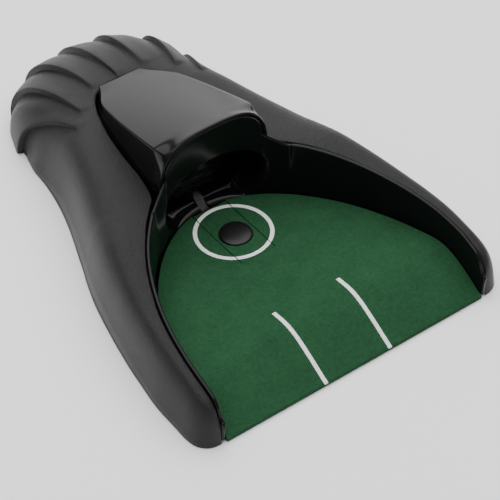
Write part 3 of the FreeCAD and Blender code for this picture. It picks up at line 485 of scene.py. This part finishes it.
# ---- hood --------------------------------------------------------------------------------------
# A gloss black wedge snapped into the housing over the kick mechanism. Behind its arched lip it
# has a flat top between two crisp creases and folded sides, and it sinks until it is flush.
CREASE_TURN, FOLD_TURN = math.radians(42.0), math.radians(16.0)
FOLD_X, FOLD_Z, CREASE_X, CREASE_Z = 0.925, 0.42, 0.90, 0.85
HOOD_WIDTHS = [[HOOD_HALF], [38.2], [36.2], [33.6], [28.8], [16.5]]


def hood_ring(f, s, inset, turn):
    """At the lip an arch, x = half cos^(2/p) and z = foot + rise sin^(2/p). Within an eighth of the
    length it turns into a folded section: straight lines from the foot to the fold and from the
    fold to the crease, then the top, crease + crown (1 - (x / crease)^2)."""
    half = smooth_rows(HOOD_WIDTHS, 5 * f) - inset
    foot = (HOOD_FOOT + 2.3 * ease((f - 0.9) / 0.1))[:, None]
    rise = ((HOOD_TOP - HOOD_FOOT) * (1 - f) + 2.9 * f)[:, None] + HOOD_FOOT - inset - foot
    rise = np.maximum(rise, 0.3)
    c, n = np.cos(turn)[None, :], np.abs(np.sin(turn))[None, :]
    arch_x = half * np.sign(c) * np.abs(c) ** (2 / LIP_POWER)
    arch_z = rise * n ** (2 / LIP_POWER)
    tilt = np.minimum(turn, math.pi - turn)[None, :]
    over = np.clip((tilt - CREASE_TURN) / (math.pi / 2 - CREASE_TURN), 0, 1)
    crease_x, crease_z = CREASE_X * half, CREASE_Z * rise
    side_x = np.interp(tilt, [0, FOLD_TURN, CREASE_TURN], [1.0, FOLD_X, CREASE_X]) * half
    side_z = np.interp(tilt, [0, FOLD_TURN, CREASE_TURN], [0.0, FOLD_Z, CREASE_Z]) * rise
    folded_x = np.where(over > 0, crease_x * (1 - over), side_x) * np.sign(c)
    folded_z = np.where(over > 0, crease_z + (rise - crease_z) * (1 - (1 - over) ** 2), side_z)
    mix = ease(f / 0.12)[:, None]
    x = arch_x + (folded_x - arch_x) * mix
    z = foot + arch_z + (folded_z - arch_z) * mix
    return np.stack([x, s[:, None] + LIP_LEAN * (z - HOOD_FOOT) * (1 - f)[:, None], z], -1)


turn = np.radians(np.linspace(0, 180, 121))
s = np.concatenate([HOOD_FRONT + np.array([0, 0.08, 0.3, 0.6, 1.0]),
                    np.linspace(HOOD_FRONT + 2.5, HOOD_REAR + 2.4, 64)])
f = (s - HOOD_FRONT) / (HOOD_REAR + 2.4 - HOOD_FRONT)
inset = (2.0 * (1 - 0.3 * f))[:, None]
full = np.sqrt(np.clip(1 - (1 - np.clip(s - HOOD_FRONT, 0, 1)) ** 2, 0.02, 1))[:, None]
outer = hood_ring(f, s, inset / 2 * (1 - full), turn)
inner = hood_ring(f, s, inset / 2 * (1 + full), turn)
hood = ring_solid("hood_moulding", np.concatenate([outer, inner[:, ::-1]], 1))
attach(hood, "housing")
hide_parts("hood_cover")
wear(gloss_black, hood, "hood_cover")

# ---- base, deck and flap plate -------------------------------------------------------------------
# The base plate, its battery door, the ramp deck and the flap's plate: plain matt black ABS
# mouldings. The lift lever is of the same plastic. Six rubber pads are pressed into the base.
base_black = finish_of("base_black", pebble_grain, (.016, .016, .016), (.024, .024, .024),
                       1400.0, .5, .62, .00005)
rubber_black = finish_of("rubber_black", pebble_grain, (.018, .018, .018), (.03, .03, .03),
                         2600.0, .75, .9, .00004)
wear(base_black, "base_plate", "battery_door", "battery_tray", "ramp_deck", "kick_flap",
     "lift_lever")
wear(rubber_black, "rubber_feet")

# ---- putting turf ------------------------------------------------------------------------------
# A die-cut sheet of short green pile, bonded to the ramp, with a window for the flap's strip.
TURF_LINE = np.array([
    (0.0, 2.4), (6.0, 5.4), (12.0, 8.8), (18.5, 12.0), (24.5, 15.0), (32.0, 17.9), (39.0, 19.1),
    (45.0, 18.5), (51.5, 17.4), (65.0, 15.9), (80.0, 14.5), (107.0, 12.5), (124.0, 11.4),
    (156.0, 10.4)])
TURF_T, WINDOW_HALF, WINDOW_FRONT, EDGE = 1.4, 12.6, 98.0, 0.6


def turf_top(s):
    """Height of the ramp, eased over 5 mm so that its crown is rounded."""
    spread = np.linspace(-5, 5, 11)
    line_s, line_z = TURF_LINE.T
    eased = np.interp(np.asarray(s)[..., None] + spread, line_s, line_z).mean(-1)
    inner = np.clip(np.minimum(s, 150 - s) / 5, 0, 1)
    return eased * inner + np.interp(s, line_s, line_z) * (1 - inner)


def slab(name, plan, quads, top, bottom):
    """A sheet from a plan of quads: its top, its underside and a wall along every edge that
    belongs to one quad only."""
    n = len(plan)
    upper = np.column_stack([plan, turf_top(plan[:, 1]) + top])
    lower = np.column_stack([plan, turf_top(plan[:, 1]) + bottom])
    starts, ends = quads.ravel(), np.roll(quads, -1, axis=1).ravel()
    key = np.minimum(starts, ends) * n + np.maximum(starts, ends)
    _, back, count = np.unique(key, return_inverse=True, return_counts=True)
    rim = count[back.ravel()] == 1
    p, q = starts[rim], ends[rim]
    walls = np.stack([q, p, p + n, q + n], 1)
    faces = np.concatenate([quads, quads[:, ::-1] + n, walls])
    return mesh_object(name, np.concatenate([upper, lower]), faces)


def grid_quads(across, along, keep=None):
    """The quads of a grid of points, or those of them that are marked to keep."""
    i, j = np.meshgrid(np.arange(across - 1), np.arange(along - 1), indexing="ij")
    k = i * along + j
    quads = np.stack([k, k + along, k + along + 1, k + 1], -1)
    return quads[keep] if keep is not None else quads.reshape(-1, 4)


half, depth = GREEN_HALF - EDGE, GREEN_DEPTH - EDGE
window_turn = math.acos((WINDOW_HALF / half) ** (GREEN_POWER / 2))
level_turn = math.asin(((WINDOW_FRONT - GREEN_STRAIGHT) / depth) ** (GREEN_POWER / 2))
turn = np.concatenate([
    np.linspace(0, level_turn, 40), np.linspace(level_turn, window_turn, 60)[1:],
    np.linspace(window_turn, math.pi - window_turn, 20)[1:],
    np.linspace(math.pi - window_turn, math.pi - level_turn, 60)[1:],
    np.linspace(math.pi - level_turn, math.pi, 40)[1:]])
x = half * np.sign(np.cos(turn)) * np.abs(np.cos(turn)) ** (2 / GREEN_POWER)
end = GREEN_STRAIGHT + depth * np.sin(turn) ** (2 / GREEN_POWER)
first, last = np.linspace(0, 1, 90)[None, :], np.linspace(0, 1, 50)[None, 1:]
near = np.minimum(end, WINDOW_FRONT)[:, None]
far = np.maximum(end[:, None], near)
s = np.concatenate([0.3 + (near - 0.3) * first, near + (far - near) * last], 1)
plan = np.stack([np.repeat(x[:, None], s.shape[1], 1), s], -1)
column = (x[1:] + x[:-1]) / 2
beyond = np.arange(s.shape[1] - 1) >= 89
gone = (np.abs(column) < WINDOW_HALF) | (np.minimum(end[1:], end[:-1]) < WINDOW_FRONT - 1e-6)
keep = ~(gone[:, None] & beyond[None, :])
quads = grid_quads(*s.shape, keep)
used, quads = np.unique(quads, return_inverse=True)
turf = slab("turf_sheet", plan.reshape(-1, 2)[used], quads.reshape(-1, 4), 0.0, -TURF_T)
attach(turf, "housing")
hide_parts("putting_turf")


def pile(tree, where, scale):
    """Short cut pile: crushed patches, clumps of yarn and single fibre ends."""
    patches = texture(tree, "ShaderNodeTexNoise", where, 60.0, detail=3.0)
    clumps = texture(tree, "ShaderNodeTexNoise", where, scale, detail=4.0)
    fibres = texture(tree, "ShaderNodeTexVoronoi", where, 1500.0)
    mix = plus(tree, times(tree, patches.outputs["Fac"], 0.55),
               times(tree, clumps.outputs["Fac"], 0.75))
    mask = times(tree, plus(tree, mix, times(tree, fibres.outputs["Distance"], 0.35)), 1.5, -0.72)
    return mask, plus(tree, clumps.outputs["Fac"], times(tree, fibres.outputs["Distance"], -0.8))


cut_pile = grain_group("cut pile", pile)
green_turf = finish_of("green_turf", cut_pile, (.0125, .050, .0215), (.0230, .086, .0380),
                       420.0, .88, .98, .0004, specular_ior_level=.08)
wear(green_turf, turf, "putting_turf")

# ---- printed lines and ring --------------------------------------------------------------------
# White ink printed on the pile: two guide lines up the ramp and a ring round the ball sensor,
# broken where the flap's two slits cross it.
GUIDE_X, GUIDE_END, LINE_W, RING_S, RING_R, INK_T = 23.4, 51.5, 2.6, 123.8, 23.5, 0.15


def bar(x0, x1, s0, s1, across, along):
    """A rectangle of the plan, as evenly spaced points and their quads."""
    grid = np.meshgrid(np.linspace(x0, x1, across), np.linspace(s0, s1, along), indexing="ij")
    return np.stack(grid, -1).reshape(-1, 2), grid_quads(across, along)


def arc(start, stop):
    """Part of the ring: for each radius, angles between the two limits, measured from +Y."""
    r = np.linspace(RING_R - LINE_W / 2, RING_R + LINE_W / 2, 6)[:, None]
    a = start(r) + (stop(r) - start(r)) * np.linspace(0, 1, 80)[None, :]
    return np.stack([r * np.sin(a), RING_S + r * np.cos(a)], -1).reshape(-1, 2), grid_quads(6, 80)


def printed(name, parts):
    """One thin layer of ink made of several parts of the plan."""
    count = 0
    plans, quads = [], []
    for plan, faces in parts:
        plans.append(plan)
        quads.append(faces + count)
        count += len(plan)
    return slab(name, np.concatenate(plans), np.concatenate(quads), INK_T, -0.25)


guides = printed("guide_print", [bar(x - LINE_W / 2, x + LINE_W / 2, 0.3, GUIDE_END, 5, 80)
                                 for x in (-GUIDE_X, GUIDE_X)])
gap = lambda r: np.arcsin(WINDOW_HALF / r)
ring = printed("ring_print", [arc(gap, lambda r: math.pi - gap(r)),
                               arc(lambda r: gap(r) - math.pi, lambda r: -gap(r))])
for piece, node in ((guides, "guide_lines"), (ring, "target_ring")):
    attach(piece, "housing")
    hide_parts(node)
white_ink = finish_of("white_ink", cut_pile, (.72, .74, .72), (.92, .93, .92),
                      420.0, .7, .85, .0004)
wear(white_ink, guides, ring, "guide_lines", "target_ring")

# ---- flap strip --------------------------------------------------------------------------------
# The same pile on the kick flap, cut round the ball sensor. On the flap it is held at its front
# edge and bends there with it; here it is one fixed flat sheet. The ring's two short arcs are
# printed across it.
STRIP_HALF, STRIP_END, DOME_S, HOLE_R = 12.0, 149.7, 121.5, 10.6


def strip_edge(a):
    """Distance from the sensor's centre to the strip's straight edges, in each direction."""
    side = STRIP_HALF / np.maximum(np.abs(np.sin(a)), 1e-6)
    end = np.where(np.cos(a) > 0, STRIP_END - DOME_S, DOME_S - WINDOW_FRONT)
    return np.minimum(side, end / np.maximum(np.abs(np.cos(a)), 1e-6))


corner_rear = math.atan2(STRIP_HALF, STRIP_END - DOME_S)
corner_front = math.pi - math.atan2(STRIP_HALF, DOME_S - WINDOW_FRONT)
a = np.concatenate([np.linspace(0, corner_rear, 16), np.linspace(corner_rear, corner_front, 60)[1:],
                    np.linspace(corner_front, math.pi, 16)[1:]])
a = np.concatenate([a, 2 * math.pi - a[-2::-1]])[:, None]
r = HOLE_R + (strip_edge(a) - HOLE_R) * np.linspace(0, 1, 30)[None, :]
plan = np.stack([r * np.sin(a), DOME_S + r * np.cos(a)], -1)[:-1].reshape(-1, 2)
quads = grid_quads(len(a), 30)
quads = np.where(quads >= len(plan), quads - len(plan), quads)
strip = slab("strip_sheet", plan, quads, 0.0, -TURF_T)
lie = lambda r: np.arcsin((STRIP_HALF - 0.02) / r)
strip_ring = printed("strip_ring_print", [arc(lambda r: -lie(r), lie),
                                   arc(lambda r: math.pi - lie(r), lambda r: math.pi + lie(r))])
for piece, node in ((strip, "flap_turf"), (strip_ring, "flap_ring")):
    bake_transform(piece)
    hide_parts(node)
wear(green_turf, strip, "flap_turf")
wear(white_ink, strip_ring, "flap_ring")

# ---- ball sensor dome --------------------------------------------------------------------------
# A low satin black button on a stem, turned as one profile, that the ball rolls onto.
DOME_R = 10.2
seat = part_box("dome_button")[1].z * 1000 - 2.7


def lathe(name, profile, s, turns=72):
    """A solid of revolution about an upright axis: the profile's radii turned through a circle,
    as rings from pole to pole."""
    profile = np.asarray(profile, float)
    around = np.radians(np.linspace(0, 360, turns, endpoint=False))[None, :]
    r, z = profile[:, :1], profile[:, 1:]
    grid = np.stack([r * np.cos(around), s + r * np.sin(around), z + 0 * around], -1)
    return ring_solid(name, grid)


u = np.linspace(0, 1, 22)
quarter = u * math.pi / 2
cap = np.stack([DOME_R * np.sin(quarter), seat + 0.7 + 2.0 * np.cos(quarter) ** 0.9], 1)
cap[0, 0] = 0.02
skirt = [(DOME_R, seat + 0.25), (DOME_R - 0.25, seat), (3.4, seat), (3.0, seat - 0.4), (3.0, 7.65),
         (2.5, 7.6), (2.5, 7.0), (3.0, 6.95), (3.0, 6.6), (2.8, 6.4), (0.02, 6.4)]
dome = lathe("dome_cap", np.concatenate([cap, skirt]), DOME_S)
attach(dome, "dome")
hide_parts("dome_button")
dome_black = finish_of("dome_black", pebble_grain, (.004, .004, .004), (.007, .007, .007),
                       2200.0, .30, .42, .00003, specular_ior_level=.34)
wear(dome_black, dome, "dome_button")

# ---- steel fittings ------------------------------------------------------------------------------
# Zinc-plated steel: the screws, the pins, the push-on clip, the brackets, the solenoid's frame and
# the battery contacts. All of it is stamped, turned or drawn, so the grain runs one way.
def brushed(tree, where, scale):
    """Rolled or drawn metal: noise stretched along one direction, with small pits."""
    shape = tree.nodes.new("ShaderNodeMapping")
    shape.inputs["Scale"].default_value = (1.0, 0.08, 1.0)
    wire(tree, (where, shape.inputs["Vector"]))
    streak = texture(tree, "ShaderNodeTexNoise", shape.outputs["Vector"], scale, detail=5.0)
    pits = texture(tree, "ShaderNodeTexNoise", where, scale, detail=2.0)
    height = plus(tree, streak.outputs["Fac"], times(tree, pits.outputs["Fac"], 0.5))
    return streak.outputs["Fac"], height


drawn_metal = grain_group("drawn metal", brushed)
zinc_steel = finish_of("zinc_steel", drawn_metal, (.50, .50, .51), (.66, .66, .68),
                       500.0, .3, .45, .00004, metallic=1.0)
wear(zinc_steel, "case_screws", "mechanism_screws", "board_screws", "flap_hinge_pin", "dome_clip",
     "lever_pin", "clevis_pin", "lever_bracket", "solenoid_frame", "solenoid_bracket",
     "battery_contacts", "battery_springs")

# ---- return spring -----------------------------------------------------------------------------
# A coil of zinc-plated music wire between the base and the lever's rear arm. On the cup it
# shortens as the lever swings down on it; here it is built at one fixed length.
spring_low, spring_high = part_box("lever_spring")
WIRE_R, TURNS = 0.3, 5.0


def coil(name, low, high, wire_r, turns):
    """A tube round a helix: centre (R cos a, R sin a, rise a), and round it, in each turn, a
    circle whose two directions are the helix's outward one and the one square to it and its run."""
    radius = (high.x - low.x) * 500 - wire_r
    middle_x, middle_s = (high.x + low.x) * 500, ((high.y + low.y) / 2 - FRONT) * 1000
    base, height = low.z * 1000 + wire_r, (high.z - low.z) * 1000 - 2 * wire_r
    a = np.linspace(0, 2 * math.pi * turns, int(turns * 28))[:, None]
    outward = np.concatenate([np.cos(a), np.sin(a), 0 * a], 1)
    climb = height / (2 * math.pi * turns)
    run = np.concatenate([-np.sin(a) * radius, np.cos(a) * radius, 0 * a + climb], 1)
    side = np.cross(run / np.linalg.norm(run, axis=1, keepdims=True), outward)
    lift = np.concatenate([0 * a, 0 * a, climb * a], 1)
    centre = outward * radius + np.array([middle_x, middle_s, base]) + lift
    turn = np.linspace(0, 2 * math.pi, 12, endpoint=False)[None, :, None]
    offset = outward[:, None] * np.cos(turn) + side[:, None] * np.sin(turn)
    return ring_solid(name, centre[:, None] + wire_r * offset)


spring = coil("return_spring", spring_low, spring_high, WIRE_R, TURNS)
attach(spring, "housing")
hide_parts("lever_spring")
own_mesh(spring)
wear(zinc_steel, spring, "lever_spring")

# ---- solenoid ------------------------------------------------------------------------------------
# A soft-iron plunger in a nylon bobbin wound with enamelled copper. It pulls the lift lever.
bright_steel = finish_of("bright_steel", drawn_metal, (.62, .62, .62), (.75, .75, .76),
                         700.0, .18, .3, .00003, metallic=1.0)
copper_wire = finish_of("copper_wire", drawn_metal, (.62, .25, .12), (.78, .36, .20),
                        900.0, .25, .35, .00003, metallic=1.0)
white_nylon = finish_of("white_nylon", moulded_polish, (.72, .71, .66), (.80, .79, .75),
                        600.0, .35, .5, .0002)
wear(bright_steel, "solenoid_plunger")
wear(copper_wire, "solenoid_coil")
wear(white_nylon, "solenoid_bobbin", "sensor_stem", "wire_header")

# ---- electrics and cells -------------------------------------------------------------------------
# Two fibreglass boards with their switches, transistor and capacitors, the power switch in the
# base, four AA cells in printed sleeves, and red insulated wire between them.
circuit_board = finish_of("circuit_board", moulded_polish, (.01, .09, .035), (.02, .13, .05),
                          300.0, .3, .45, .0001)
capacitor_sleeve = finish_of("capacitor_sleeve", moulded_polish, (.012, .018, .07), (.02, .03, .10),
                             400.0, .25, .35, .0001)
cell_sleeve = finish_of("cell_sleeve", drawn_metal, (.30, .18, .06), (.42, .27, .10),
                        400.0, .28, .4, .00003, metallic=.7)
red_wire = finish_of("red_wire", moulded_polish, (.45, .02, .015), (.58, .04, .03),
                     500.0, .35, .5, .0001)
wear(circuit_board, "control_board", "sensor_board")
wear(dome_black, "sensor_switch", "driver_transistor", "power_switch", "switch_knob")
wear(capacitor_sleeve, "storage_capacitors")
wear(cell_sleeve, "battery_cells")
wear(red_wire, "battery_wires", "coil_wires", "sensor_wires")

# ---- floor and lights --------------------------------------------------------------------------
# A plain pale sweep under one large overhead softbox, a weaker one from the right rear and a
# dim room that is darker towards the horizon.
floor_mesh = bpy.data.meshes.new("floor")
floor_mesh.from_pydata([(-6, -6, 0), (6, -6, 0), (6, 6, 0), (-6, 6, 0)], [], [(0, 1, 2, 3)])
floor = bpy.data.objects.new("floor", floor_mesh)
bpy.context.scene.collection.objects.link(floor)
paper = bpy.data.materials.new("paper sweep")
paper.use_nodes = True
paper.node_tree.nodes["Principled BSDF"].inputs["Base Color"].default_value = (.95, .95, .95, 1)
paper.node_tree.nodes["Principled BSDF"].inputs["Roughness"].default_value = 0.9
floor_mesh.materials.append(paper)


def softbox(name, place, aim, size, power):
    """A rectangular area light that faces its aim."""
    data = bpy.data.lights.new(name, "AREA")
    data.shape = "RECTANGLE"
    data.size, data.size_y = size
    data.energy = power
    light = bpy.data.objects.new(name, data)
    light.location = place
    toward = np.array(aim) - np.array(place)
    flat = math.hypot(toward[0], toward[1])
    light.rotation_euler = (math.atan2(flat, -toward[2]), 0, math.atan2(-toward[0], toward[1]))
    bpy.context.scene.collection.objects.link(light)
    return light


softbox("overhead panel", (0.5, 0.8, 2.5), (0.5, 0.8, 0), (5.0, 5.0), 200.0)
softbox("rear panel", (1.7, 3.2, 0.9), (0.2, 0, 0.5), (4.4, 1.6), 46.0)
world = bpy.data.worlds.new("room")
world.use_nodes = True
world.node_tree.nodes["Background"].inputs["Strength"].default_value = 0.45
sky = world.node_tree.nodes
sky_place, sky_split = sky.new("ShaderNodeTexCoord"), sky.new("ShaderNodeSeparateXYZ")
sky_tone = sky.new("ShaderNodeMapRange")
sky_tone.inputs["From Min"].default_value = 0.12
sky_tone.inputs["From Max"].default_value = 0.6
sky_tone.inputs["To Min"].default_value = 0.02
wire(world.node_tree, (sky_place.outputs["Generated"], sky_split.inputs["Vector"]),
     (sky_split.outputs["Z"], sky_tone.inputs["Value"]),
     (sky_tone.outputs["Result"], sky["Background"].inputs["Color"]))
bpy.context.scene.world = world
